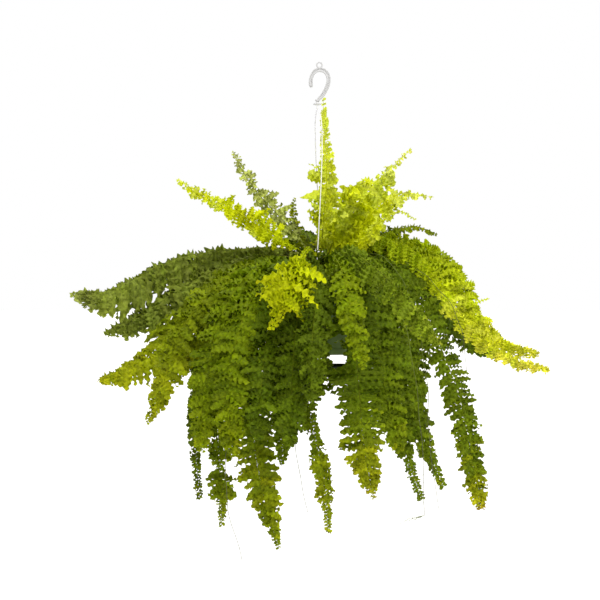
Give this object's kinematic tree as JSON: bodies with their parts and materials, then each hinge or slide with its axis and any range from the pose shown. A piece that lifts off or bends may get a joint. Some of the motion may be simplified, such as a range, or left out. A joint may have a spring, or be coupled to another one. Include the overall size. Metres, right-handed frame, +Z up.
{
  "type": "potted fern",
  "caption": "Arching sword fern with ruffled leaflets in a plastic hanging pot with drip saucer, carried by a translucent hook on two thin arms.",
  "frame": {"origin": "the point inside the hook's crown that bears on what the plant hangs from", "axes": "+Z up, the front of the plant towards -Y, +X to the right seen from the front"},
  "size_m": [0.9569, 0.7205, 0.9712],
  "materials": {
    "hanger_plastic": "gloss",
    "leaf_bright": "satin",
    "leaf_deep": "satin",
    "leaf_dusty": "satin",
    "leaf_gold": "satin",
    "leaf_gold_lime": "satin",
    "leaf_green": "satin",
    "leaf_lime": "satin",
    "leaf_olive": "satin",
    "leaf_silver": "satin",
    "pot_plastic": "satin",
    "rootstock": "matte",
    "runner": "matte",
    "saucer_plastic": "satin",
    "soil": "matte"
  },
  "bodies": {
    "root": {"hanger_hook": "hanger_plastic", "hanger_arm_front": "hanger_plastic", "hanger_arm_back": "hanger_plastic", "pot": "pot_plastic", "saucer": "saucer_plastic", "soil": "soil", "crown": "rootstock", "frond_01": "leaf_lime", "frond_02": "leaf_dusty", "frond_03": "leaf_lime", "frond_04": "leaf_olive", "frond_05": "leaf_lime", "frond_06": "leaf_lime", "frond_07": "leaf_lime", "frond_08": "leaf_green", "frond_09": "leaf_lime", "frond_10": "leaf_dusty", "frond_11": "leaf_dusty", "frond_12": "leaf_olive", "frond_13": "leaf_olive", "frond_14": "leaf_olive", "frond_15": "leaf_gold", "frond_16": "leaf_gold_lime", "frond_17": "leaf_gold_lime", "frond_18": "leaf_deep", "frond_19": "leaf_deep", "frond_20": "leaf_deep", "frond_21": "leaf_deep", "frond_22": "leaf_green", "frond_23": "leaf_green", "frond_24": "leaf_green", "frond_25": "leaf_green", "frond_26": "leaf_green", "frond_27": "leaf_green", "frond_28": "leaf_deep", "frond_29": "leaf_bright", "frond_30": "leaf_bright", "frond_31": "leaf_deep", "frond_32": "leaf_deep", "frond_33": "leaf_deep", "frond_34": "leaf_silver", "frond_35": "leaf_bright", "frond_36": "leaf_silver", "frond_37": "leaf_green", "frond_38": "leaf_deep", "frond_39": "leaf_green", "frond_40": "leaf_deep", "frond_41": "leaf_green", "frond_42": "leaf_bright", "frond_43": "leaf_green", "frond_44": "leaf_deep", "frond_45": "leaf_green", "frond_46": "leaf_green", "frond_47": "leaf_olive", "frond_48": "leaf_dusty", "runner_01": "runner", "runner_02": "runner", "runner_03": "runner", "runner_04": "runner", "runner_05": "runner"}
  },
  "joints": []
}
